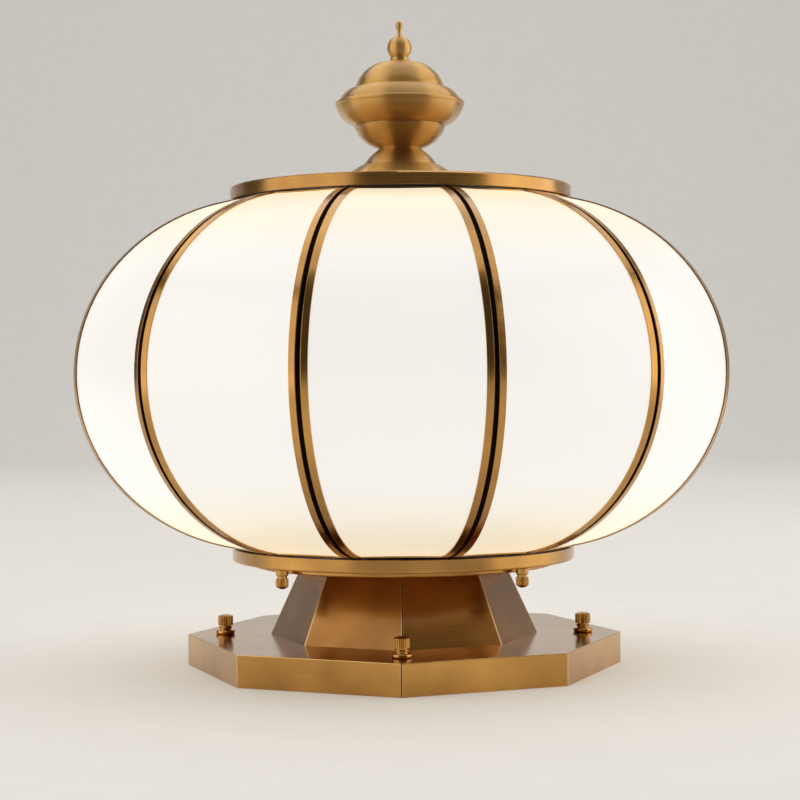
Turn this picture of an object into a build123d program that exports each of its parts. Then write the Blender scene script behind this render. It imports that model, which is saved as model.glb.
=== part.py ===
from build123d import *
import os
from math import cos, hypot, radians, sin, sqrt, tan

# Globe post light. Millimetres, +Z up, origin on the pier at the middle of the base.
# The front of the light is -Y: one glass panel and one corner of the octagons face it.

# Globe: the seams lie on half an ellipse, drawn about a circle round the axis, and the panels
# between them are flatter, turned about axes of their own that stand further back
GLOBE_R = 202.0
SIDE_ARC_CENTRE_R = 85.0
SIDE_ARC_HALF_H = 107.6
PANELS = 12
PANEL_AXIS_BACK = 400.0

# Glass panels and their came frames
GLASS_T = 4.0
CAME_SHEET = 0.8
CAME_FACE = 4.0
CAME_PLAY = 0.1
CAME_ROUND = 0.35
CAME_SHOW = 3.0
SEAM_GAP = 2.7

# Lower ring, dish and top cap: spun sheet
SPUN_SHEET = 1.2
SPUN_ROUND = 1.0
RING_R = 105.5
RIM_H = 8.0
RIM_PLAY = 0.4
DISH_H = 3.4
CAP_SEAL_T = 1.5
CAP_SEAL_INSET = 1.2

# Ribs behind the seams, and the hoops at the ends of the panels
RIB_W = 6.0
RIB_T = 2.0
RIB_PLAY = 0.1
RIB_SINK = 0.7
HOOP_SEAT_W = 4.8
HOOP_LIP_W = 6.0
HOOP_RIM_PLAY = 1.5
HOOP_PLAY = 0.2

# Base pan and neck: folded sheet
SIDES = 8
FOLDED_SHEET = 1.2
FOLD_ROUND = 0.5
BASE_R = 134.2
BASE_H = 19.0
NECK_FOOT_R = 82.6
NECK_TOP_R = 62.8
NECK_H = 43.2

# Steel cross bracket on the pier
BRACKET_T = 3.0
BRACKET_ARM_W = 30.0
BRACKET_END = 11.0
ANCHOR_CIRCLE_D = 150.0
ANCHOR_HOLE_R = 3.5
CABLE_HOLE_R = 10.0
GROMMET_BORE_R = 4.0
GROMMET_FLANGE = 3.0
GROMMET_FLANGE_T = 2.0
GROMMET_PLAY = 0.1
TERMINAL_L = 30.0
TERMINAL_W = 20.0
TERMINAL_H = 12.0
TERMINAL_PLACE_R = 45.0
TERMINAL_POLES = 3
TERMINAL_HOLE_R = 2.0
TERMINAL_HOLE_H = 5.0
EARTH_SCREW_R = 2.0
EARTH_HEAD_R = 4.0
EARTH_HEAD_H = 2.8

# Thumb nuts on the base
BASE_NUTS = 4
BASE_NUT_INSET = 23.3
BASE_STUD_R = 2.5
BASE_COLLAR_R = 6.05
BASE_COLLAR_H = 2.7
BASE_COLLAR_ROUND = 1.3
BASE_NUT_R = 4.65
BASE_NUT_NECK_R = 3.5
BASE_NUT_NECK_H = 2.9
BASE_NUT_BEAD = 0.7
BASE_NUT_GRIP_H = 5.6
BASE_NUT_DOME_H = 1.0

# Thumb nuts under the lower ring
RING_NUTS = 4
RING_NUT_INSET = 6.2
RING_NUT_DISH_GAP = 2.5
RING_STUD_R = 2.0
RING_STUD_HOLD = 3.5
RING_COLLAR_H = 4.0
RING_COLLAR_ROUND = 0.8
RING_NUT_R = 3.75
RING_NUT_NECK_R = 2.9
RING_NUT_NECK_H = 1.6
RING_NUT_GRIP_H = 4.4
RING_NUT_DOME_H = 1.8

# What all thumb nuts share
THREAD_PLAY = 0.05
THREAD_END_PLAY = 0.2
STUD_HOLE_PLAY = 0.6
NUT_TOP_WALL = 1.6
KNURLS = 24
KNURL_W = 0.6

# Centre tube, its nuts and washers
TUBE_R = 5.0
TUBE_BORE_R = 3.5
TUBE_PLAY = 0.5
TUBE_PIER_GAP = 8.0
TUBE_NUT_FLATS = 15.0
TUBE_NUT_H = 5.0
WASHER_R = 12.0
WASHER_T = 1.5

# Lamps
LAMPS = 3
LAMP_CIRCLE_R = 42.0
LAMP_PLATE_R = 66.0
LAMP_PLATE_T = 1.5
LAMP_PLATE_RISE = 23.2
HOLDER_R = 19.0
HOLDER_H = 45.0
HOLDER_FLOOR = 15.5
LAMP_R = 30.0
LAMP_L = 108.0
LAMP_CAP_R = 13.2
LAMP_CAP_H = 26.0
LAMP_TIP_R = 5.0
LAMP_TIP_H = 3.5
LAMP_SIDE_BOW = 2.8
LAMP_PLAY = 0.3

# Finial: spun foot, bowl and dome, turned collar and knob. Heights (_Z) count from the cap's top.
FINIAL_SHEET = 1.0
FOOT_R = 40.0
FOOT_LIP_H = 1.6
FOOT_BOW = 0.8
SHOULDER_R = 24.7
SHOULDER_Z = 14.1
SHOULDER_STEP = 1.7
SHOULDER_BOW = 1.0
WAIST_R = 13.5
WAIST_Z = 24.0
STEM_R = 14.4
STEM_H = 1.2
BOWL_R = 28.1
BOWL_Z = 38.2
BOWL_BOW = 2.3
BOWL_GROOVE = 0.9
RIM_R = 39.6
RIM_Z = 51.4
RIM_BOW = 2.3
LIP_R = 38.9
LIP_Z = 54.1
LIP_BOW = 0.9
LIP_W = 3.4
LIP_STEP = 0.9
DOME_R = 27.6
DOME_Z = 62.7
DOME_SKIRT_BOW = 1.6
DOME_TOP_R = 6.6
DOME_TOP_Z = 78.6
DOME_BOW = 4.6
KNOB_COLLAR_R = 5.75
KNOB_COLLAR_H = 3.1
KNOB_COLLAR_ROUND = 1.0
KNOB_R = 7.65
KNOB_SEAT_H = 5.5
KNOB_STEM_R = 1.3
KNOB_STEM_H = 6.0
KNOB_STEM_FLARE_H = 1.6
KNOB_TIP_R = 2.15
KNOB_TIP_L = 1.5
KNOB_SHANK_L = 16.0
KNOB_HOLE_PLAY = 0.3

# Radii that follow from the ring
RIM_INNER_R = RING_R - SPUN_SHEET
HOOP_OUTER_R = RIM_INNER_R - HOOP_RIM_PLAY
FRAME_END_R = HOOP_OUTER_R - HOOP_SEAT_W
HOOP_LIP_R = FRAME_END_R - HOOP_PLAY
HOOP_INNER_R = HOOP_LIP_R - HOOP_LIP_W
WINDOW_END_R = RING_R + CAME_SHOW
RING_NUT_CIRCLE_R = RING_R - RING_NUT_INSET
DISH_R = RING_NUT_CIRCLE_R - RING_NUT_R - RING_NUT_DISH_GAP
BASE_NUT_CIRCLE_R = BASE_R - BASE_NUT_INSET

# Heights of the stack, from the pier up
BASE_UNDER_Z = BASE_H - FOLDED_SHEET
DISH_UNDER_Z = BASE_H + NECK_H
LOWER_RING_Z = DISH_UNDER_Z + DISH_H
LOWER_FLOOR_Z = LOWER_RING_Z + SPUN_SHEET
SIDE_HALF_W = GLOBE_R - SIDE_ARC_CENTRE_R
RIM_MEETS_H = SIDE_ARC_HALF_H * sqrt(1 - ((RIM_INNER_R - SIDE_ARC_CENTRE_R) / SIDE_HALF_W) ** 2)
GLOBE_MID_Z = LOWER_RING_Z + RIM_H + RIM_PLAY + RIM_MEETS_H
CAP_RIM_Z = GLOBE_MID_Z + RIM_MEETS_H + RIM_PLAY
CAP_Z = CAP_RIM_Z + RIM_H
CAP_UNDER_Z = CAP_Z - SPUN_SHEET
UPPER_HOOP_Z = CAP_UNDER_Z - CAP_SEAL_T
TUBE_TOP_Z = CAP_Z + DOME_TOP_Z - FINIAL_SHEET - KNOB_HOLE_PLAY
LAMP_PLATE_Z = LOWER_FLOOR_Z + LAMP_PLATE_RISE

# Thumb nuts: where they meet their studs
BASE_GRIP_Z = BASE_H + BASE_COLLAR_H + BASE_NUT_NECK_H
BASE_STUD_TOP_Z = BASE_GRIP_Z + BASE_NUT_GRIP_H - NUT_TOP_WALL
RING_NUT_NECK_Z = LOWER_RING_Z - RING_COLLAR_H
RING_GRIP_Z = RING_NUT_NECK_Z - RING_NUT_NECK_H
RING_GRIP_LOW_Z = RING_GRIP_Z - RING_NUT_GRIP_H
RING_STUD_LOW_Z = RING_GRIP_LOW_Z + NUT_TOP_WALL

# Depths under the globe's outer surface
FRAME_DEPTH = GLASS_T + 2 * (CAME_SHEET + CAME_PLAY)
RIB_INSET = FRAME_DEPTH + RIB_SINK

# Cutting shapes reach past the globe by a margin
MARGIN = 20.0
CUT_R = GLOBE_R + MARGIN
CUT_LOW_Z = GLOBE_MID_Z - SIDE_ARC_HALF_H - MARGIN
CUT_HIGH_Z = GLOBE_MID_Z + SIDE_ARC_HALF_H + MARGIN

ON_FLOOR = (Align.CENTER, Align.CENTER, Align.MIN)
ON_AXIS = 0.001

nodes = {}


# Shared shapes


def disc(radius, low_z, high_z):
    """Upright cylinder on the axis between two heights."""
    return Pos(0, 0, low_z) * Cylinder(radius, high_z - low_z, align=ON_FLOOR)


def washer(radius, bore_r, low_z, high_z):
    """Upright ring on the axis between two heights."""
    return disc(radius, low_z, high_z) - disc(bore_r, low_z, high_z)


def bowed(start, end, rise):
    """Arc whose middle stands rise off the chord, to the right of the way from start to end."""
    step_r = end[0] - start[0]
    step_z = end[1] - start[1]
    length = hypot(step_r, step_z)
    middle_r = (start[0] + end[0]) / 2 + rise * step_z / length
    middle_z = (start[1] + end[1]) / 2 - rise * step_r / length
    return ThreePointArc(start, (middle_r, middle_z), end)


def dome_bow(radius, height):
    """Rise of the arc of a ball-shaped dome that stands height above a rim."""
    ball_r = (radius**2 + height**2) / (2 * height)
    return ball_r - sqrt(ball_r**2 - (radius**2 + height**2) / 4)


def half_section(lines):
    """Face between the axis and an outline drawn upwards as (radius, height)."""
    start = lines[0] @ 0
    end = lines[-1] @ 1
    corners = [end, Vector(0, end.Y), Vector(0, start.Y), start]
    if end.X < ON_AXIS:
        corners.remove(end)
    if start.X < ON_AXIS:
        corners.remove(start)
    return make_face((Curve() + lines + Polyline(*corners)).edges())


def turned(section):
    """Solid of revolution of a half section."""
    return revolve(Plane.XZ * section, Axis.Z)


def around(count, radius, first_angle=0.0):
    """Places on a circle about the axis."""
    return [Rot(0, 0, first_angle + n * 360 / count) * Pos(radius, 0, 0) for n in range(count)]


def group(shapes):
    """Like pieces that share one node."""
    return Compound(children=[shape.solid() for shape in shapes])


def rounded_collar(radius, bore_r, low_z, high_z, round_r):
    """Loose collar with rounded outer edges."""
    collar = washer(radius, bore_r, low_z, high_z)
    rims = [edge for edge in collar.edges().filter_by(GeomType.CIRCLE) if edge.radius > bore_r + THREAD_PLAY]
    return fillet(rims, round_r)


def knurled(grip, radius, low_z, high_z):
    """Straight knurling: a ring of small upright grooves."""
    square = Rot(0, 0, 45) * Rectangle(KNURL_W, KNURL_W)
    groove = Pos(radius, 0, low_z) * extrude(square, high_z - low_z)
    return grip - [Rot(0, 0, n * 360 / KNURLS) * groove for n in range(KNURLS)]


base_nut_places = around(BASE_NUTS, BASE_NUT_CIRCLE_R, -90)
ring_nut_places = around(RING_NUTS, RING_NUT_CIRCLE_R, -45)


# Bracket, base pan and neck


def octagon(radius, z):
    return Pos(0, 0, z) * RegularPolygon(radius, SIDES)


FOLDED_WALL = FOLDED_SHEET / cos(radians(180 / SIDES))


def make_bracket():
    """Steel cross that is bolted to the pier, with the studs for the base pan."""
    arm_l = 2 * (BASE_NUT_CIRCLE_R + BRACKET_END)
    arm = Box(arm_l, BRACKET_ARM_W, BRACKET_T, align=ON_FLOOR)
    bracket = arm + Rot(0, 0, 90) * arm
    bracket -= disc(CABLE_HOLE_R, 0, BRACKET_T)
    earth_place = Pos(-TERMINAL_PLACE_R, 0, 0)
    bracket -= earth_place * disc(EARTH_SCREW_R + THREAD_PLAY, 0, BRACKET_T)
    for place in around(BASE_NUTS, ANCHOR_CIRCLE_D / 2):
        bracket -= place * disc(ANCHOR_HOLE_R, 0, BRACKET_T)
    for place in base_nut_places:
        bracket -= place * disc(BASE_STUD_R + THREAD_PLAY, 0, BRACKET_T)
    nodes["pier_bracket"] = bracket
    stud = disc(BASE_STUD_R, 0, BASE_STUD_TOP_Z)
    nodes["bracket_studs"] = group(place * stud for place in base_nut_places)
    screw = disc(EARTH_SCREW_R, 0, BRACKET_T)
    screw += disc(EARTH_HEAD_R, BRACKET_T, BRACKET_T + EARTH_HEAD_H)
    nodes["earth_screw"] = earth_place * screw


def make_wiring():
    """Grommet for the supply cable and the terminal block, both on the bracket."""
    flange_top = BRACKET_T + GROMMET_FLANGE_T
    grommet = disc(CABLE_HOLE_R - GROMMET_PLAY, 0, BRACKET_T)
    grommet += disc(CABLE_HOLE_R + GROMMET_FLANGE, BRACKET_T, flange_top)
    nodes["cable_grommet"] = grommet - disc(GROMMET_BORE_R, 0, flange_top)
    block = Box(TERMINAL_L, TERMINAL_W, TERMINAL_H, align=ON_FLOOR)
    wire_hole = Pos(0, 0, TERMINAL_HOLE_H) * Rot(90, 0, 0) * Cylinder(TERMINAL_HOLE_R, 2 * TERMINAL_W)
    pole_pitch = TERMINAL_L / TERMINAL_POLES
    for pole in range(TERMINAL_POLES):
        block -= Pos((pole + 0.5) * pole_pitch - TERMINAL_L / 2, 0, 0) * wire_hole
    nodes["terminal_block"] = Pos(TERMINAL_PLACE_R, 0, BRACKET_T) * block


def make_base_pan():
    """Octagonal pan folded from sheet, open below."""
    pan = extrude(octagon(BASE_R, 0), BASE_H)
    folds = pan.edges().filter_by(Axis.Z) + pan.edges().group_by(Axis.Z)[-1]
    pan = fillet(folds, FOLD_ROUND)
    pan -= extrude(octagon(BASE_R - FOLDED_WALL, 0), BASE_UNDER_Z)
    pan -= disc(TUBE_R + TUBE_PLAY, BASE_UNDER_Z, BASE_H)
    for place in base_nut_places:
        pan -= place * disc(BASE_STUD_R + STUD_HOLE_PLAY, BASE_UNDER_Z, BASE_H)
    nodes["base_pan"] = pan


def make_neck():
    """Eight-sided tapered tube folded from sheet, clamped between base pan and dish."""
    outer = loft([octagon(NECK_FOOT_R, BASE_H), octagon(NECK_TOP_R, DISH_UNDER_Z)], ruled=True)
    folds = [edge for edge in outer.edges() if edge.center().Z > BASE_H + NECK_H / 4]
    folds = [edge for edge in folds if edge.center().Z < DISH_UNDER_Z - NECK_H / 4]
    outer = fillet(folds, FOLD_ROUND)
    inner_foot = octagon(NECK_FOOT_R - FOLDED_WALL, BASE_H)
    inner_top = octagon(NECK_TOP_R - FOLDED_WALL, DISH_UNDER_Z)
    nodes["neck_shell"] = outer - loft([inner_foot, inner_top], ruled=True)


# Thumb nuts


def make_base_nuts():
    """Knurled thumb nuts with loose half-round collars, on the bracket's studs."""
    bore_r = BASE_STUD_R + THREAD_PLAY
    neck_z = BASE_H + BASE_COLLAR_H
    top_z = BASE_GRIP_Z + BASE_NUT_GRIP_H
    bead_low = (BASE_NUT_NECK_R, neck_z + BASE_NUT_NECK_H / 4)
    bead_high = (BASE_NUT_NECK_R, BASE_GRIP_Z - BASE_NUT_NECK_H / 4)
    neck_lines = [
        Line((BASE_NUT_NECK_R, neck_z), bead_low),
        bowed(bead_low, bead_high, BASE_NUT_BEAD),
        Line(bead_high, (BASE_NUT_NECK_R, BASE_GRIP_Z)),
    ]
    grip_lines = [
        Line((BASE_NUT_R, BASE_GRIP_Z), (BASE_NUT_R, top_z)),
        bowed((BASE_NUT_R, top_z), (0, top_z + BASE_NUT_DOME_H), dome_bow(BASE_NUT_R, BASE_NUT_DOME_H)),
    ]
    grip = knurled(turned(half_section(grip_lines)), BASE_NUT_R, BASE_GRIP_Z, top_z)
    nut = turned(half_section(neck_lines)) + grip
    nut -= disc(bore_r, neck_z, BASE_STUD_TOP_Z + THREAD_END_PLAY)
    collar = rounded_collar(BASE_COLLAR_R, bore_r, BASE_H, neck_z, BASE_COLLAR_ROUND)
    for n, place in enumerate(base_nut_places, 1):
        nodes[f"base_nut_collar_{n}"] = place * collar
        nodes[f"base_nut_{n}"] = place * nut


def make_ring_nuts():
    """Small domed thumb nuts with collars, on studs that hang from the lower hoop."""
    bore_r = RING_STUD_R + THREAD_PLAY
    dome_z = RING_GRIP_LOW_Z - RING_NUT_DOME_H
    grip_lines = [
        bowed((0, dome_z), (RING_NUT_R, RING_GRIP_LOW_Z), dome_bow(RING_NUT_R, RING_NUT_DOME_H)),
        Line((RING_NUT_R, RING_GRIP_LOW_Z), (RING_NUT_R, RING_GRIP_Z)),
    ]
    nut = knurled(turned(half_section(grip_lines)), RING_NUT_R, RING_GRIP_LOW_Z, RING_GRIP_Z)
    nut += disc(RING_NUT_NECK_R, RING_GRIP_Z, RING_NUT_NECK_Z)
    nut -= disc(bore_r, RING_STUD_LOW_Z - THREAD_END_PLAY, RING_NUT_NECK_Z)
    collar = rounded_collar(RING_NUT_R, bore_r, RING_NUT_NECK_Z, LOWER_RING_Z, RING_COLLAR_ROUND)
    stud = disc(RING_STUD_R, RING_STUD_LOW_Z, LOWER_FLOOR_Z + RING_STUD_HOLD)
    nodes["ring_studs"] = group(place * stud for place in ring_nut_places)
    for n, place in enumerate(ring_nut_places, 1):
        nodes[f"ring_nut_collar_{n}"] = place * collar
        nodes[f"ring_nut_{n}"] = place * nut


# Dish, lower ring and top cap


def make_dish():
    """Round dish between the neck and the lower ring."""
    dish = disc(DISH_R, DISH_UNDER_Z, LOWER_RING_Z)
    dish = fillet(dish.edges().group_by(Axis.Z)[0], SPUN_ROUND)
    dish -= disc(DISH_R - SPUN_SHEET, DISH_UNDER_Z + SPUN_SHEET, LOWER_RING_Z)
    nodes["neck_dish"] = dish - disc(TUBE_R + TUBE_PLAY, DISH_UNDER_Z, LOWER_RING_Z)


def make_lower_ring():
    """Shallow pan with an upright rim band; its floor carries the globe."""
    top_z = LOWER_RING_Z + RIM_H
    ring = disc(RING_R, LOWER_RING_Z, top_z)
    ring = fillet(ring.edges().group_by(Axis.Z)[0], SPUN_ROUND)
    ring -= disc(RIM_INNER_R, LOWER_FLOOR_Z, top_z)
    ring = fillet(ring.edges().group_by(Axis.Z)[-1], SPUN_SHEET / 3)
    ring -= disc(TUBE_R + TUBE_PLAY, LOWER_RING_Z, LOWER_FLOOR_Z)
    for place in ring_nut_places:
        ring -= place * disc(RING_STUD_R + STUD_HOLE_PLAY, LOWER_RING_Z, LOWER_FLOOR_Z)
    nodes["lower_ring"] = ring


def make_cap():
    """Flat top cap with a rim band that hides the ends of the panels."""
    cap = disc(RING_R, CAP_RIM_Z, CAP_Z)
    cap = fillet(cap.edges().group_by(Axis.Z)[-1], SPUN_ROUND)
    cap -= disc(RIM_INNER_R, CAP_RIM_Z, CAP_UNDER_Z)
    cap = fillet(cap.edges().group_by(Axis.Z)[0], SPUN_SHEET / 3)
    nodes["top_cap"] = cap - disc(TUBE_R + TUBE_PLAY, CAP_UNDER_Z, CAP_Z)


# Globe: hoops, ribs, frames and glass


def side_body(centre_r, half_w, inset):
    """Everything inside a half ellipse turned about the axis, taken in by inset."""
    centre = (centre_r, GLOBE_MID_Z)
    side = EllipticalCenterArc(centre, half_w - inset, SIDE_ARC_HALF_H - inset, -90, arc_size=180)
    return turned(half_section([side]))


def globe_body(inset):
    """Everything inside the round globe that the seams lie on."""
    return side_body(SIDE_ARC_CENTRE_R, SIDE_HALF_W, inset)


def off_panel_axis(seam_r):
    """Distance from a panel's own axis to a point of its seam that is seam_r off the light's axis."""
    return sqrt(seam_r**2 + PANEL_AXIS_BACK**2 + 2 * seam_r * PANEL_AXIS_BACK * cos(radians(180 / PANELS)))


def panel_layer(outer_inset, inner_inset):
    """Shell that the front panel is cut from; it meets the globe at both seams."""
    centre_r = off_panel_axis(SIDE_ARC_CENTRE_R)
    half_w = off_panel_axis(GLOBE_R) - centre_r
    shell = side_body(centre_r, half_w, outer_inset) - side_body(centre_r, half_w, inner_inset)
    return Pos(0, PANEL_AXIS_BACK, 0) * shell


def gore(side_gap, end_r):
    """Upright wedge of the front panel, side_gap off both seam planes and end_r off the axis."""
    half_angle = radians(180 / PANELS)
    far_half_w = CUT_R * tan(half_angle) - side_gap / cos(half_angle)
    corners = [(0, -side_gap / sin(half_angle)), (-far_half_w, -CUT_R), (far_half_w, -CUT_R)]
    wedge = extrude(make_face(Polyline(*corners, close=True)), CUT_HIGH_Z - CUT_LOW_Z)
    return Pos(0, 0, CUT_LOW_Z) * wedge - disc(end_r, CUT_LOW_Z, CUT_HIGH_Z)


def make_panels():
    """Opal glass panels, each in a came frame: a folded channel on all four sides."""
    web_gap = SEAM_GAP / 2
    slot_gap = web_gap + CAME_SHEET
    slot_end_r = FRAME_END_R + CAME_SHEET
    frame = panel_layer(0, FRAME_DEPTH) & gore(web_gap, FRAME_END_R)
    frame = fillet(frame.edges().sort_by(SortBy.LENGTH)[-2:], CAME_ROUND)
    frame -= panel_layer(CAME_SHEET, FRAME_DEPTH - CAME_SHEET) & gore(slot_gap, slot_end_r)
    frame -= gore(web_gap + CAME_FACE, WINDOW_END_R)
    glass_inset = CAME_SHEET + CAME_PLAY
    glass = panel_layer(glass_inset, glass_inset + GLASS_T)
    glass &= gore(slot_gap + CAME_PLAY, slot_end_r + CAME_PLAY)
    turns = [Rot(0, 0, n * 360 / PANELS) for n in range(PANELS)]
    nodes["panel_frames"] = group(turn * frame for turn in turns)
    for n, turn in enumerate(turns, 1):
        nodes[f"glass_panel_{n:02d}"] = turn * glass


def make_ribs():
    """Curved flat bars behind the seams, brazed to both hoops."""
    bar = Pos(0, -CUT_R / 2, GLOBE_MID_Z) * Box(RIB_W, CUT_R, CUT_HIGH_Z - CUT_LOW_Z)
    bar -= disc(HOOP_INNER_R + HOOP_PLAY, CUT_LOW_Z, CUT_HIGH_Z)
    rib = (globe_body(RIB_INSET) - globe_body(RIB_INSET + RIB_T)) & bar
    nodes["seam_ribs"] = group(Rot(0, 0, (n + 0.5) * 360 / PANELS) * rib for n in range(PANELS))


def hoop(flat_z):
    """Ring between a flat face at flat_z and the ends of the frames and ribs."""
    low_z = min(flat_z, GLOBE_MID_Z)
    high_z = max(flat_z, GLOBE_MID_Z)
    lip = washer(HOOP_LIP_R, HOOP_INNER_R, low_z, high_z) - globe_body(RIB_INSET - RIB_PLAY)
    seat = washer(HOOP_OUTER_R, HOOP_LIP_R, low_z, high_z) - globe_body(-HOOP_PLAY)
    return lip + seat


def make_hoops():
    """Lower hoop with its stud holes, upper hoop, and the seal that the cap sits on."""
    lower = hoop(LOWER_FLOOR_Z)
    stud_hole = disc(RING_STUD_R + THREAD_PLAY, LOWER_FLOOR_Z, LOWER_FLOOR_Z + RING_STUD_HOLD)
    for place in ring_nut_places:
        lower -= place * stud_hole
    nodes["lower_hoop"] = lower
    nodes["upper_hoop"] = hoop(UPPER_HOOP_Z)
    seal_r = HOOP_OUTER_R - CAP_SEAL_INSET
    nodes["cap_seal"] = washer(seal_r, HOOP_INNER_R + CAP_SEAL_INSET, UPPER_HOOP_Z, CAP_UNDER_Z)


# Centre tube and lamps


def make_tube():
    """Threaded tube through the whole light, with the nuts and washers that clamp the stack."""
    nodes["centre_tube"] = washer(TUBE_R, TUBE_BORE_R, TUBE_PIER_GAP, TUBE_TOP_Z)
    hexagon = extrude(RegularPolygon(TUBE_NUT_FLATS / 2, 6, major_radius=False), TUBE_NUT_H)
    hexagon -= disc(TUBE_R + THREAD_PLAY, 0, TUBE_NUT_H)
    nut_heights = [
        BASE_UNDER_Z - WASHER_T - TUBE_NUT_H,
        LOWER_FLOOR_Z + WASHER_T,
        LAMP_PLATE_Z - TUBE_NUT_H,
        LAMP_PLATE_Z + LAMP_PLATE_T,
    ]
    nodes["tube_nuts"] = group(Pos(0, 0, z) * hexagon for z in nut_heights)
    washer_heights = [
        (BASE_UNDER_Z - WASHER_T, BASE_UNDER_Z),
        (DISH_UNDER_Z + SPUN_SHEET, LOWER_RING_Z),
        (LOWER_FLOOR_Z, LOWER_FLOOR_Z + WASHER_T),
    ]
    hole_r = TUBE_R + TUBE_PLAY
    nodes["tube_washers"] = group(washer(WASHER_R, hole_r, *heights) for heights in washer_heights)


def make_lamps():
    """Lamp plate on the tube, three screw lamp holders and their lamps."""
    holder_z = LAMP_PLATE_Z + LAMP_PLATE_T
    holder_top_z = holder_z + HOLDER_H
    seat_z = holder_z + HOLDER_FLOOR
    nodes["lamp_plate"] = washer(LAMP_PLATE_R, TUBE_R + TUBE_PLAY, LAMP_PLATE_Z, holder_z)
    holder = disc(HOLDER_R, holder_z, holder_top_z)
    holder = fillet(holder.edges().group_by(Axis.Z)[-1], SPUN_ROUND)
    holder -= disc(LAMP_CAP_R + LAMP_PLAY, seat_z, holder_top_z)
    tip_z = seat_z + LAMP_PLAY
    cap_z = tip_z + LAMP_TIP_H
    neck_z = cap_z + LAMP_CAP_H
    top_z = tip_z + LAMP_L
    round_z = top_z - LAMP_R
    lamp_lines = [
        Polyline((LAMP_TIP_R, tip_z), (LAMP_CAP_R, cap_z), (LAMP_CAP_R, neck_z)),
        bowed((LAMP_CAP_R, neck_z), (LAMP_R, round_z), LAMP_SIDE_BOW),
        bowed((LAMP_R, round_z), (0, top_z), dome_bow(LAMP_R, LAMP_R)),
    ]
    lamp = turned(half_section(lamp_lines))
    places = around(LAMPS, LAMP_CIRCLE_R, 90)
    nodes["lamp_holders"] = group(place * holder for place in places)
    for n, place in enumerate(places, 1):
        nodes[f"lamp_{n}"] = place * lamp


# Finial


def spun(lines):
    """Spun shell: the half section of an outline, less the same section taken in by the sheet."""
    section = half_section(lines)
    return turned(section - offset(section, -FINIAL_SHEET))


def make_finial():
    """Spun foot, bowl and dome stacked on the cap, and the turned knob that holds them down."""
    on_cap = Pos(0, 0, CAP_Z)
    tube_hole = disc(TUBE_R + TUBE_PLAY, 0, LIP_Z)
    foot_lines = [
        Line((FOOT_R, 0), (FOOT_R, FOOT_LIP_H)),
        bowed((FOOT_R, FOOT_LIP_H), (SHOULDER_R, SHOULDER_Z), FOOT_BOW),
        Line((SHOULDER_R, SHOULDER_Z), (SHOULDER_R - SHOULDER_STEP, SHOULDER_Z)),
        bowed((SHOULDER_R - SHOULDER_STEP, SHOULDER_Z), (WAIST_R, WAIST_Z), SHOULDER_BOW),
    ]
    foot = spun(foot_lines) - disc(FOOT_R - FINIAL_SHEET, 0, FINIAL_SHEET)
    nodes["finial_foot"] = on_cap * (foot - tube_hole)
    stem = (STEM_R, WAIST_Z + STEM_H)
    groove_r = BOWL_R - BOWL_GROOVE
    groove_z = BOWL_Z + BOWL_GROOVE
    bowl_lines = [
        Line((WAIST_R, WAIST_Z), stem),
        bowed(stem, (BOWL_R, BOWL_Z), BOWL_BOW),
        Polyline((BOWL_R, BOWL_Z), (groove_r, BOWL_Z), (groove_r, groove_z), (BOWL_R, groove_z)),
        bowed((BOWL_R, groove_z), (RIM_R, RIM_Z), RIM_BOW),
        bowed((RIM_R, RIM_Z), (LIP_R, LIP_Z), LIP_BOW),
    ]
    bowl = spun(bowl_lines) - disc(LIP_R - LIP_W, LIP_Z - FINIAL_SHEET, LIP_Z)
    nodes["finial_bowl"] = on_cap * (bowl - tube_hole)
    dome_lines = [
        bowed((LIP_R - LIP_STEP, LIP_Z), (DOME_R, DOME_Z), DOME_SKIRT_BOW),
        bowed((DOME_R, DOME_Z), (DOME_TOP_R, DOME_TOP_Z), DOME_BOW),
    ]
    shank_r = TUBE_BORE_R - THREAD_PLAY
    dome = spun(dome_lines) - disc(LIP_R - LIP_W, LIP_Z, LIP_Z + FINIAL_SHEET)
    nodes["finial_dome"] = on_cap * (dome - disc(shank_r + KNOB_HOLE_PLAY, LIP_Z, DOME_TOP_Z))
    seat_z = DOME_TOP_Z + KNOB_COLLAR_H
    collar = rounded_collar(KNOB_COLLAR_R, TUBE_BORE_R, DOME_TOP_Z, seat_z, KNOB_COLLAR_ROUND)
    nodes["knob_collar"] = on_cap * collar
    ball_z = seat_z + KNOB_SEAT_H
    stem_z = ball_z + sqrt(KNOB_R**2 - (2 * KNOB_STEM_R) ** 2)
    tip_z = stem_z + KNOB_STEM_H
    knob = Pos(0, 0, ball_z) * Sphere(KNOB_R) - disc(KNOB_R, ball_z - KNOB_R, seat_z)
    knob += disc(shank_r, seat_z - KNOB_SHANK_L, seat_z)
    knob += Pos(0, 0, stem_z) * Cone(2 * KNOB_STEM_R, KNOB_STEM_R, KNOB_STEM_FLARE_H, align=ON_FLOOR)
    knob += disc(KNOB_STEM_R, stem_z, tip_z)
    knob += Pos(0, 0, tip_z) * Sphere(KNOB_TIP_R)
    knob += disc(KNOB_TIP_R, tip_z, tip_z + KNOB_TIP_L)
    knob += Pos(0, 0, tip_z + KNOB_TIP_L) * Sphere(KNOB_TIP_R)
    nodes["finial_knob"] = on_cap * knob


make_bracket()
make_wiring()
make_base_pan()
make_base_nuts()
make_neck()
make_dish()
make_lower_ring()
make_ring_nuts()
make_hoops()
make_tube()
make_lamps()
make_panels()
make_ribs()
make_cap()
make_finial()

os.makedirs("parts", exist_ok=True)
for name, shape in nodes.items():
    export_step(shape, f"parts/{name}.step")
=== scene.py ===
from math import cos, pi, radians, sin

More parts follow.
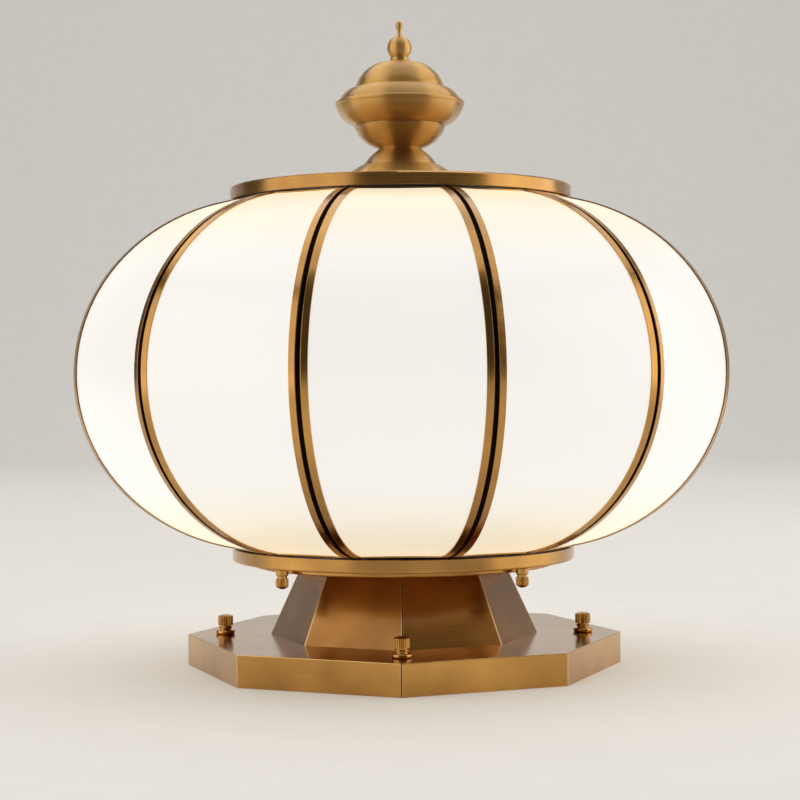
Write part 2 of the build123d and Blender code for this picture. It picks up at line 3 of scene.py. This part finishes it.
import bpy
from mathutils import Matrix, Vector


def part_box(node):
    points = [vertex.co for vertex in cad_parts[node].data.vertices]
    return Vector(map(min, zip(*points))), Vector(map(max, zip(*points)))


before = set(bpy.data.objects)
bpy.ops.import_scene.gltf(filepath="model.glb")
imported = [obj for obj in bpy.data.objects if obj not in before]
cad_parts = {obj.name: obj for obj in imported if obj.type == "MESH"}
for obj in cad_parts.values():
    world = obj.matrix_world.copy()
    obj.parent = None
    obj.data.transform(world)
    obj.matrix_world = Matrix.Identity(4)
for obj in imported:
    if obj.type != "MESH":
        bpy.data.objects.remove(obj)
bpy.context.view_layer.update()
bpy.ops.object.select_all(action="DESELECT")

# Steel bracket, studs and clamping parts.
# Cut and drilled mild steel with a bright zinc coat: a flat cross bolted to the pier, the studs
# welded in it, and the threaded centre tube with the nuts, washers and lamp plate clamped on it.


def colour(hex_code):
    """Linear colour of an sRGB hex code."""
    channels = [int(hex_code[i : i + 2], 16) / 255 for i in (1, 3, 5)]
    linear = [c / 12.92 if c <= 0.04045 else ((c + 0.055) / 1.055) ** 2.4 for c in channels]
    return (*linear, 1.0)


def add_node(tree, kind, inputs=None, **settings):
    """Adds a node, makes its settings and fills its sockets with values or other nodes' outputs."""
    node = tree.nodes.new(kind)
    for name, value in settings.items():
        setattr(node, name, value)
    for socket, value in (inputs or {}).items():
        if isinstance(value, bpy.types.NodeSocket):
            tree.links.new(value, node.inputs[socket])
        else:
            node.inputs[socket].default_value = value
    return node


def new_material(name):
    """Empty material with a surface shader; returns it with its tree, shader and object coordinates."""
    material = bpy.data.materials.new(name)
    material.use_nodes = True
    tree = material.node_tree
    shader = tree.nodes["Principled BSDF"]
    place = add_node(tree, "ShaderNodeTexCoord").outputs["Object"]
    return material, tree, shader, place


def coat(material, *node_names):
    """Gives CAD nodes a finish."""
    for node_name in node_names:
        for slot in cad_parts[node_name].material_slots:
            slot.material = material


def zinc_plated_steel():
    """Bright zinc: pale blue-grey crystals a few millimetres wide, and a soft shine."""
    crystal_mm = 4.0
    material, tree, shader, place = new_material("zinc_plated_steel")
    crystals = add_node(tree, "ShaderNodeTexVoronoi", {"Vector": place, "Scale": 1000 / crystal_mm})
    tone = add_node(tree, "ShaderNodeValToRGB", {"Fac": crystals.outputs["Color"]})
    tone.color_ramp.elements[0].color = colour("#8f9498")
    tone.color_ramp.elements[1].color = colour("#b4b8bb")
    shine = add_node(
        tree, "ShaderNodeMapRange", {"Value": crystals.outputs["Color"], "To Min": 0.32, "To Max": 0.5}
    )
    tree.links.new(tone.outputs["Color"], shader.inputs["Base Color"])
    tree.links.new(shine.outputs["Result"], shader.inputs["Roughness"])
    shader.inputs["Metallic"].default_value = 1.0
    return material


zinc = zinc_plated_steel()
coat(zinc, "pier_bracket", "bracket_studs", "ring_studs", "centre_tube", "tube_nuts", "tube_washers")
coat(zinc, "lamp_plate", "lower_hoop", "upper_hoop")

# Wiring parts on the bracket.
# A moulded rubber grommet where the supply cable comes up, a moulded nylon terminal block and a
# turned brass earth screw, all out of sight under the base pan.


def moulded_rubber():
    """Carbon black rubber: nearly black, dull, with a faint bloom."""
    bloom_mm = 6.0
    material, tree, shader, place = new_material("moulded_rubber")
    bloom = add_node(tree, "ShaderNodeTexNoise", {"Vector": place, "Scale": 1000 / bloom_mm, "Detail": 4.0})
    tone = add_node(tree, "ShaderNodeValToRGB", {"Fac": bloom.outputs["Fac"]})
    tone.color_ramp.elements[0].color = colour("#141312")
    tone.color_ramp.elements[1].color = colour("#2b2927")
    tree.links.new(tone.outputs["Color"], shader.inputs["Base Color"])
    shader.inputs["Roughness"].default_value = 0.75
    shader.inputs["Specular IOR Level"].default_value = 0.3
    return material


def moulded_nylon():
    """Natural nylon: milky off-white with a fine spark-eroded grain."""
    grain_mm = 0.5
    material, tree, shader, place = new_material("moulded_nylon")
    grain = add_node(tree, "ShaderNodeTexNoise", {"Vector": place, "Scale": 1000 / grain_mm, "Detail": 2.0})
    tone = add_node(tree, "ShaderNodeValToRGB", {"Fac": grain.outputs["Fac"]})
    tone.color_ramp.elements[0].color = colour("#c9c5b8")
    tone.color_ramp.elements[1].color = colour("#dedbd0")
    relief = add_node(
        tree, "ShaderNodeBump", {"Height": grain.outputs["Fac"], "Strength": 0.2, "Distance": 0.0001}
    )
    tree.links.new(tone.outputs["Color"], shader.inputs["Base Color"])
    tree.links.new(relief.outputs["Normal"], shader.inputs["Normal"])
    shader.inputs["Roughness"].default_value = 0.5
    return material


rubber = moulded_rubber()
coat(rubber, "cable_grommet", "cap_seal")
coat(moulded_nylon(), "terminal_block")

# Base pan and neck.
# Brass sheet 1.2 mm thick, folded to an eight-sided pan and an eight-sided tapered tube, brushed
# along the folds, browned, lacquered and joined by a dark soldered seam at the front and back corner.

BRASS = ("#8f632c", "#d39e50")
# Darker copy of the brass for the neck: painted shade.
BRASS_SHADED = ("#6b4318", "#ad7734")
# Pale brass for the painted highlights along the folds and the top rim of the folded sheet.
BRASS_HIGHLIGHT = "#efcf95"
CLOUD_MM = 45.0
LINE_SHARE = 0.12
DARK_END = 0.2
PALE_END = 0.7
GROOVE_M = 0.0002
LACQUER = 0.5
LACQUER_ROUGHNESS = 0.12


def brass_tone(tree, place, strokes, tones):
    """Brass in two tones, clouds of the darker one under tool lines; returns its colour and the lines."""
    clouds = add_node(tree, "ShaderNodeTexNoise", {"Vector": place, "Scale": 1000 / CLOUD_MM, "Detail": 4.0})
    lines = add_node(tree, "ShaderNodeTexNoise", {"Vector": strokes, "Scale": 1.0, "Detail": 3.0})
    blend = add_node(
        tree, "ShaderNodeMix", {"Factor": LINE_SHARE, "A": clouds.outputs["Fac"], "B": lines.outputs["Fac"]}
    )
    tone = add_node(tree, "ShaderNodeValToRGB", {"Fac": blend.outputs["Result"]})
    tone.color_ramp.elements[0].position = DARK_END
    tone.color_ramp.elements[0].color = colour(tones[0])
    tone.color_ramp.elements[1].position = PALE_END
    tone.color_ramp.elements[1].color = colour(tones[1])
    return tone.outputs["Color"], lines.outputs["Fac"]


def lacquer(tree, shader, lines, shine, relief):
    """Brushed metal under clear lacquer: lines that vary the shine and lie a little deep."""
    gloss = add_node(tree, "ShaderNodeMapRange", {"Value": lines, "To Min": shine[0], "To Max": shine[1]})
    grooves = add_node(tree, "ShaderNodeBump", {"Height": lines, "Strength": relief, "Distance": GROOVE_M})
    tree.links.new(gloss.outputs["Result"], shader.inputs["Roughness"])
    tree.links.new(grooves.outputs["Normal"], shader.inputs["Normal"])
    shader.inputs["Metallic"].default_value = 1.0
    shader.inputs["Coat Weight"].default_value = LACQUER
    shader.inputs["Coat Roughness"].default_value = LACQUER_ROUGHNESS


def folded_brass(name, tones, shine, edge_highlight):
    """Brushed, browned sheet: horizontal lines, painted highlights along the folds and the top rim, a dark
    soldered seam front and back.
    """
    line_mm = 0.9
    stroke_mm = 90.0
    highlight_mm = 0.9
    seam_mm = 0.45
    fold_highlight = 0.7
    rim_slope = 0.6
    rim_near = 0.15
    rim_far = 0.35
    groove_relief = 0.05
    sides = 8
    material, tree, shader, place = new_material(name)
    spacing = (1000 / stroke_mm, 1000 / stroke_mm, 1000 / line_mm)
    strokes = add_node(tree, "ShaderNodeVectorMath", {0: place, 1: spacing}, operation="MULTIPLY")
    tone, lines = brass_tone(tree, place, strokes.outputs[0], tones)
    axes = add_node(tree, "ShaderNodeSeparateXYZ", {"Vector": place})
    angle = add_node(
        tree, "ShaderNodeMath", {0: axes.outputs["Y"], 1: axes.outputs["X"]}, operation="ARCTAN2"
    )
    off_fold = add_node(tree, "ShaderNodeMath", {0: angle.outputs[0], 1: pi / sides}, operation="PINGPONG")
    flat = add_node(tree, "ShaderNodeVectorMath", {0: place, 1: (1.0, 1.0, 0.0)}, operation="MULTIPLY")
    reach = add_node(tree, "ShaderNodeVectorMath", {0: flat.outputs[0]}, operation="LENGTH")
    way = add_node(
        tree, "ShaderNodeMath", {0: off_fold.outputs[0], 1: reach.outputs["Value"]}, operation="MULTIPLY"
    )
    # Painted highlight: the sheet turns pale close to each fold.
    fold = add_node(
        tree, "ShaderNodeMapRange",
        {"Value": way.outputs[0], "From Max": highlight_mm / 1000, "To Min": fold_highlight, "To Max": 0.0},
    )
    # Painted highlight along the rounded top rim, picked by how far up the normal points.
    facing = add_node(tree, "ShaderNodeTexCoord").outputs["Normal"]
    slope = add_node(tree, "ShaderNodeSeparateXYZ", {"Vector": facing})
    off_corner = add_node(tree, "ShaderNodeMath", {0: slope.outputs["Z"], 1: rim_slope}, operation="SUBTRACT")
    tilt = add_node(tree, "ShaderNodeMath", {0: off_corner.outputs[0]}, operation="ABSOLUTE")
    rim = add_node(
        tree, "ShaderNodeMapRange",
        {"Value": tilt.outputs[0], "From Min": rim_near, "From Max": rim_far,
         "To Min": edge_highlight, "To Max": 0.0},
    )
    highlight_mask = add_node(
        tree, "ShaderNodeMath", {0: fold.outputs["Result"], 1: rim.outputs["Result"]}, operation="MAXIMUM"
    )
    highlighted = add_node(
        tree, "ShaderNodeMix",
        {"Factor": highlight_mask.outputs[0], "A": tone, "B": colour(BRASS_HIGHLIGHT)}, data_type="RGBA",
    )
    across = add_node(tree, "ShaderNodeMath", {0: axes.outputs["X"]}, operation="ABSOLUTE")
    seam = add_node(
        tree, "ShaderNodeMapRange",
        {"Value": across.outputs[0], "From Min": seam_mm / 2000, "From Max": seam_mm / 1000,
         "To Min": 1.0, "To Max": 0.0},
    )
    soldered = add_node(
        tree, "ShaderNodeMix",
        {"Factor": seam.outputs["Result"], "A": highlighted.outputs["Result"], "B": colour("#2a1a0d")},
        data_type="RGBA",
    )
    tree.links.new(soldered.outputs["Result"], shader.inputs["Base Color"])
    lacquer(tree, shader, lines, shine, groove_relief)
    return material


PAN_SHINE = (0.13, 0.21)
# How strongly the painted highlight pales the top rim of the pan and of the neck.
PAN_EDGE_HIGHLIGHT = 0.7
NECK_SHINE = (0.2, 0.28)
NECK_EDGE_HIGHLIGHT = 0.0
coat(folded_brass("folded_brass", BRASS, PAN_SHINE, PAN_EDGE_HIGHLIGHT), "base_pan")
# The neck gets the darker copy of the brass as painted shade.
coat(folded_brass("shaded_brass", BRASS_SHADED, NECK_SHINE, NECK_EDGE_HIGHLIGHT), "neck_shell")

# Thumb nuts and their collars.
# Turned and knurled from brass bar, browned and lacquered; four hold the base pan down on the
# bracket's studs, and four hold the lower ring up on the studs of the lower hoop.


QUARTER_TURN = 0.25
NUT_LINE_MM = 0.8
NUT_SHINE = (0.14, 0.26)
NUT_RELIEF = 0.1
NUT_SHEEN = 0.5


def turned_brass(name, tones, line_mm, shine, relief, sheen, axis=(0.0, 0.0, 0.0)):
    """Turned or spun brass, lacquered: rings round its axis draw the highlights out along the profile."""
    material, tree, shader, place = new_material(name)
    off_axis = add_node(tree, "ShaderNodeVectorMath", {0: place, 1: axis}, operation="SUBTRACT").outputs[0]
    flat = add_node(tree, "ShaderNodeVectorMath", {0: off_axis, 1: (1.0, 1.0, 0.0)}, operation="MULTIPLY")
    reach = add_node(tree, "ShaderNodeVectorMath", {0: flat.outputs[0]}, operation="LENGTH")
    axes = add_node(tree, "ShaderNodeSeparateXYZ", {"Vector": place})
    section = add_node(tree, "ShaderNodeCombineXYZ", {"X": reach.outputs["Value"], "Z": axes.outputs["Z"]})
    spacing = (1000 / line_mm, 1.0, 1000 / line_mm)
    rings = add_node(tree, "ShaderNodeVectorMath", {0: section.outputs[0], 1: spacing}, operation="MULTIPLY")
    tone, lines = brass_tone(tree, place, rings.outputs[0], tones)
    tree.links.new(tone, shader.inputs["Base Color"])
    lacquer(tree, shader, lines, shine, relief)
    around = add_node(
        tree, "ShaderNodeVectorMath", {0: (0.0, 0.0, 1.0), 1: flat.outputs[0]}, operation="CROSS_PRODUCT"
    )
    turned = add_node(
        tree, "ShaderNodeVectorTransform", {"Vector": around.outputs[0]},
        vector_type="VECTOR", convert_from="OBJECT", convert_to="WORLD",
    )
    tree.links.new(turned.outputs["Vector"], shader.inputs["Tangent"])
    shader.inputs["Anisotropic"].default_value = sheen
    shader.inputs["Anisotropic Rotation"].default_value = QUARTER_TURN
    return material


def small_turned_brass(name, node_name):
    """Turned brass whose rings lie round the middle of a small piece."""
    low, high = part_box(node_name)
    return turned_brass(name, BRASS, NUT_LINE_MM, NUT_SHINE, NUT_RELIEF, NUT_SHEEN, (low + high) / 2)


for row in ("base", "ring"):
    for n in range(1, 5):
        nut_brass = small_turned_brass(f"{row}_nut_brass_{n}", f"{row}_nut_{n}")
        coat(nut_brass, f"{row}_nut_{n}", f"{row}_nut_collar_{n}")
coat(small_turned_brass("screw_brass", "earth_screw"), "earth_screw")

# Dish, lower ring and top cap.
# Brass sheet spun on a former, so its marks run round the axis; browned and lacquered. The rims are
# turned over and hide the ends of the panels.

SPUN_LINE_MM = 1.2
SPUN_SHINE = (0.22, 0.36)
SPUN_RELIEF = 0.1
SPUN_SHEEN = 0.5
spun_brass = turned_brass("spun_brass", BRASS, SPUN_LINE_MM, SPUN_SHINE, SPUN_RELIEF, SPUN_SHEEN)
coat(spun_brass, "neck_dish", "lower_ring", "top_cap")

# Ribs behind the seams.
# Flat bars bent to the curve of the globe and brazed to both hoops; their dull black is painted shade,
# so the gap between two panels shows as a black line.


def gap_shade_black():
    """Dull brown-black, slightly grainy: painted shade for the gaps between the panels."""
    grain_mm = 1.0
    material, tree, shader, place = new_material("gap_shade_black")
    grain = add_node(tree, "ShaderNodeTexNoise", {"Vector": place, "Scale": 1000 / grain_mm, "Detail": 2.0})
    tone = add_node(tree, "ShaderNodeValToRGB", {"Fac": grain.outputs["Fac"]})
    tone.color_ramp.elements[0].color = colour("#0c0806")
    tone.color_ramp.elements[1].color = colour("#1b130d")
    tree.links.new(tone.outputs["Color"], shader.inputs["Base Color"])
    shader.inputs["Roughness"].default_value = 0.7
    return material


# Black ribs: painted shade in the gaps between the panels.
coat(gap_shade_black(), "seam_ribs")

# Came frames of the panels.
# Drawn brass channel bent round each glass, soldered at the corners, browned and lacquered.


def drawn_brass():
    """Drawn brass channel: smooth, with faint die marks and brown clouds."""
    grain_mm = 2.5
    stroke_mm = 20.0
    shine = (0.18, 0.3)
    groove_relief = 0.1
    material, tree, shader, place = new_material("drawn_brass")
    spacing = (1000 / grain_mm, 1000 / grain_mm, 1000 / stroke_mm)
    strokes = add_node(tree, "ShaderNodeVectorMath", {0: place, 1: spacing}, operation="MULTIPLY")
    tone, lines = brass_tone(tree, place, strokes.outputs[0], BRASS)
    tree.links.new(tone, shader.inputs["Base Color"])
    lacquer(tree, shader, lines, shine, groove_relief)
    return material


coat(drawn_brass(), "panel_frames")

# Glass panels.
# Opal glass 4 mm thick, sagged over a mould to the curve of the globe. Its even glow is painted light:
# emission that stands in for the lamps behind it, a little warmer and darker towards the rings.


def opal_glass():
    """White opal glass with a painted glow for the lamps behind it: faint clouds in the melt, warmer near the
    rings.
    """
    cloud_mm = 70.0
    warm_from_m = 0.055
    warm_to_m = 0.108
    glow_least = 0.8
    glow_most = 0.83
    middle_m = sum(corner.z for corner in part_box("glass_panel_01")) / 2
    material, tree, shader, place = new_material("opal_glass")
    axes = add_node(tree, "ShaderNodeSeparateXYZ", {"Vector": place})
    height = add_node(tree, "ShaderNodeMath", {0: axes.outputs["Z"], 1: middle_m}, operation="SUBTRACT")
    off_middle = add_node(tree, "ShaderNodeMath", {0: height.outputs[0]}, operation="ABSOLUTE")
    # Painted light: the glow turns warmer and a little darker towards the rings.
    to_ring = add_node(
        tree, "ShaderNodeMapRange",
        {"Value": off_middle.outputs[0], "From Min": warm_from_m, "From Max": warm_to_m},
        interpolation_type="SMOOTHSTEP",
    )
    glow = add_node(
        tree, "ShaderNodeMix",
        {"Factor": to_ring.outputs["Result"], "A": colour("#fffcf6"), "B": colour("#ffeecb")},
        data_type="RGBA",
    )
    clouds = add_node(tree, "ShaderNodeTexNoise", {"Vector": place, "Scale": 1000 / cloud_mm, "Detail": 2.0})
    level = add_node(
        tree, "ShaderNodeMapRange",
        {"Value": clouds.outputs["Fac"], "To Min": glow_least, "To Max": glow_most},
    )
    shader.inputs["Base Color"].default_value = colour("#6e6a62")
    # Painted light: the glass's emission stands in for the lamps shining through it.
    tree.links.new(glow.outputs["Result"], shader.inputs["Emission Color"])
    tree.links.new(level.outputs["Result"], shader.inputs["Emission Strength"])
    shader.inputs["Roughness"].default_value = 0.3
    shader.inputs["IOR"].default_value = 1.5
    return material


coat(opal_glass(), *(f"glass_panel_{n:02d}" for n in range(1, 13)))

# Lamp holders and lamps.
# Fired ceramic holders on the lamp plate, and screw lamps with a white diffuser and a rolled metal cap.


def fired_ceramic():
    """Unglazed steatite: chalky off-white with fine specks."""
    speck_mm = 0.7
    material, tree, shader, place = new_material("fired_ceramic")
    specks = add_node(tree, "ShaderNodeTexNoise", {"Vector": place, "Scale": 1000 / speck_mm, "Detail": 3.0})
    tone = add_node(tree, "ShaderNodeValToRGB", {"Fac": specks.outputs["Fac"]})
    tone.color_ramp.elements[0].color = colour("#d5cfc2")
    tone.color_ramp.elements[1].color = colour("#ece8df")
    tree.links.new(tone.outputs["Color"], shader.inputs["Base Color"])
    shader.inputs["Roughness"].default_value = 0.65
    return material


def lit_diffuser():
    """White diffuser of a lamp that is on: an even warm glow, above the rolled cap in the holder."""
    cloud_mm = 25.0
    glow_least = 0.8
    glow_most = 0.9
    holder_top_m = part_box("lamp_holders")[1].z
    material, tree, shader, place = new_material("lit_diffuser")
    clouds = add_node(tree, "ShaderNodeTexNoise", {"Vector": place, "Scale": 1000 / cloud_mm})
    level = add_node(
        tree, "ShaderNodeMapRange",
        {"Value": clouds.outputs["Fac"], "To Min": glow_least, "To Max": glow_most},
    )
    axes = add_node(tree, "ShaderNodeSeparateXYZ", {"Vector": place})
    below = add_node(tree, "ShaderNodeMath", {0: axes.outputs["Z"], 1: holder_top_m}, operation="LESS_THAN")
    cap = below.outputs[0]
    tone = add_node(
        tree, "ShaderNodeMix",
        {"Factor": cap, "A": colour("#f0ece4"), "B": colour("#a9a9a6")}, data_type="RGBA",
    )
    diffuser = add_node(tree, "ShaderNodeMath", {0: 1.0, 1: cap}, operation="SUBTRACT")
    glow = add_node(
        tree, "ShaderNodeMath", {0: level.outputs["Result"], 1: diffuser.outputs[0]}, operation="MULTIPLY"
    )
    tree.links.new(tone.outputs["Result"], shader.inputs["Base Color"])
    tree.links.new(cap, shader.inputs["Metallic"])
    shader.inputs["Emission Color"].default_value = colour("#fff3e0")
    tree.links.new(glow.outputs[0], shader.inputs["Emission Strength"])
    shader.inputs["Roughness"].default_value = 0.35
    return material


coat(fired_ceramic(), "lamp_holders")
coat(lit_diffuser(), "lamp_1", "lamp_2", "lamp_3")

# Finial.
# Spun foot, bowl and dome stacked on the cap, and a turned collar and knob that screw down on the
# centre tube; its paler brass is painted light on the finial, and it has a satin shine.

# Paler copy of the brass: painted light on the finial.
BRASS_LIT = ("#b2803c", "#e8bb6c")
FINIAL_LINE_MM = 0.9
FINIAL_SHINE = (0.4, 0.48)
FINIAL_RELIEF = 0.08
FINIAL_SHEEN = 0.95
finial_brass = turned_brass(
    "lit_finial_brass", BRASS_LIT, FINIAL_LINE_MM, FINIAL_SHINE, FINIAL_RELIEF, FINIAL_SHEEN
)
coat(finial_brass, "finial_foot", "finial_bowl", "finial_dome", "knob_collar", "finial_knob")

# Studio.
# A pale floor that curves up into a lit backdrop, a broad softbox on each side, one overhead,
# and the camera where the photograph was taken.

FLOOR_HALF_M = 3.0
COVE_M = 1.8
COVE_STEPS = 24
BACKDROP_WIDEN = 2.0
EDGE_NEAR_M = 0.01
WALL_M = 1.5
BACKDROP_GLOW = 0.2
ROOM_LIGHT = 0.1
ROOM_SEEN = 0.85
CAMERA_DISTANCE_M = 1.211
CAMERA_TURN_RAD = radians(0.7)
CAMERA_HEIGHT_M = 0.174
FOCAL_PX = 1950.0
IMAGE_PX = 800.0
HORIZON_PX = 383.0
AXIS_PX = 402.0
ROLL_RAD = 0.008
SENSOR_MM = 36.0


def pale_floor():
    """Matte painted floor: pale warm grey with a faint roller texture."""
    roller_mm = 40.0
    material, tree, shader, place = new_material("pale_floor")
    mottle = add_node(tree, "ShaderNodeTexNoise", {"Vector": place, "Scale": 1000 / roller_mm, "Detail": 3.0})
    tone = add_node(tree, "ShaderNodeValToRGB", {"Fac": mottle.outputs["Fac"]})
    tone.color_ramp.elements[0].color = colour("#dedad3")
    tone.color_ramp.elements[1].color = colour("#e4e0da")
    tree.links.new(tone.outputs["Color"], shader.inputs["Base Color"])
    shader.inputs["Roughness"].default_value = 0.8
    ray = add_node(tree, "ShaderNodeLightPath").outputs
    seen = add_node(
        tree, "ShaderNodeMath", {0: ray["Is Camera Ray"], 1: ray["Is Glossy Ray"]}, operation="MAXIMUM"
    )
    shown = add_node(
        tree, "ShaderNodeMath", {0: seen.outputs[0], 1: ray["Is Transmission Ray"]}, operation="MAXIMUM"
    )
    glow = add_node(tree, "ShaderNodeMath", {0: shown.outputs[0], 1: BACKDROP_GLOW}, operation="MULTIPLY")
    shader.inputs["Emission Color"].default_value = colour("#f4f1ec")
    tree.links.new(glow.outputs[0], shader.inputs["Emission Strength"])
    return material


bpy.ops.mesh.primitive_plane_add(size=2 * FLOOR_HALF_M)
floor = bpy.context.active_object
floor.name = "floor"
bpy.ops.object.mode_set(mode="EDIT")
bpy.ops.mesh.select_all(action="DESELECT")
bpy.ops.object.mode_set(mode="OBJECT")
for edge in floor.data.edges:
    ends = [floor.data.vertices[i].co for i in edge.vertices]
    edge.select = all(end.y > FLOOR_HALF_M - EDGE_NEAR_M for end in ends)
bpy.ops.object.mode_set(mode="EDIT")
bpy.ops.mesh.select_mode(type="EDGE")
bpy.ops.mesh.spin(steps=COVE_STEPS, angle=radians(-90), center=(0, FLOOR_HALF_M, COVE_M), axis=(1, 0, 0))
bpy.ops.mesh.extrude_region_move(TRANSFORM_OT_translate={"value": (0, 0, WALL_M)})
bpy.ops.mesh.select_all(action="SELECT")
bpy.ops.transform.resize(value=(BACKDROP_WIDEN, 1.0, 1.0))
bpy.ops.mesh.normals_make_consistent(inside=False)
bpy.ops.mesh.faces_shade_smooth()
bpy.ops.object.mode_set(mode="OBJECT")
floor.data.materials.append(pale_floor())


def softbox(name, place, aim, size, power, tint):
    """Area light that faces a point."""
    lamp = bpy.data.lights.new(name, "AREA")
    lamp.shape = "RECTANGLE"
    lamp.size = size[0]
    lamp.size_y = size[1]
    lamp.energy = power
    lamp.color = colour(tint)[:3]
    light = bpy.data.objects.new(name, lamp)
    light.location = place
    light.rotation_euler = (Vector(aim) - Vector(place)).to_track_quat("-Z", "Y").to_euler()
    bpy.context.scene.collection.objects.link(light)


softbox("left_softbox", (-1.25, -0.6, 0.5), (0, 0, 0.2), (1.9, 1.4), 10.0, "#fffaf4")
softbox("right_softbox", (1.35, 0.0, 0.5), (0, 0, 0.2), (1.7, 1.4), 10.5, "#fffaf4")
softbox("top_softbox", (0, 0.4, 2.0), (0, 0.2, 0.2), (3.6, 2.8), 38.0, "#ffffff")
softbox("backdrop_softbox", (0, 1.8, 2.6), (0, 4.8, 0.9), (7.0, 0.8), 60.0, "#ffffff")

world = bpy.data.worlds.new("studio_room")
bpy.context.scene.world = world
world.use_nodes = True
room = world.node_tree.nodes["Background"]
room.inputs["Color"].default_value = colour("#d8d6d2")
room_ray = add_node(world.node_tree, "ShaderNodeLightPath").outputs["Is Camera Ray"]
room_level = add_node(
    world.node_tree, "ShaderNodeMapRange", {"Value": room_ray, "To Min": ROOM_LIGHT, "To Max": ROOM_SEEN}
)
world.node_tree.links.new(room_level.outputs["Result"], room.inputs["Strength"])

camera_data = bpy.data.cameras.new("camera")
camera_data.sensor_width = SENSOR_MM
camera_data.lens = SENSOR_MM * FOCAL_PX / IMAGE_PX
camera_data.shift_x = (IMAGE_PX / 2 - AXIS_PX) / IMAGE_PX
camera_data.shift_y = (HORIZON_PX - IMAGE_PX / 2) / IMAGE_PX
camera = bpy.data.objects.new("camera", camera_data)
camera.location = (
    CAMERA_DISTANCE_M * sin(CAMERA_TURN_RAD), -CAMERA_DISTANCE_M * cos(CAMERA_TURN_RAD), CAMERA_HEIGHT_M
)
camera.rotation_euler = (radians(90), ROLL_RAD, CAMERA_TURN_RAD)
bpy.context.scene.collection.objects.link(camera)
bpy.context.scene.camera = camera
bpy.context.scene.view_settings.view_transform = "Standard"
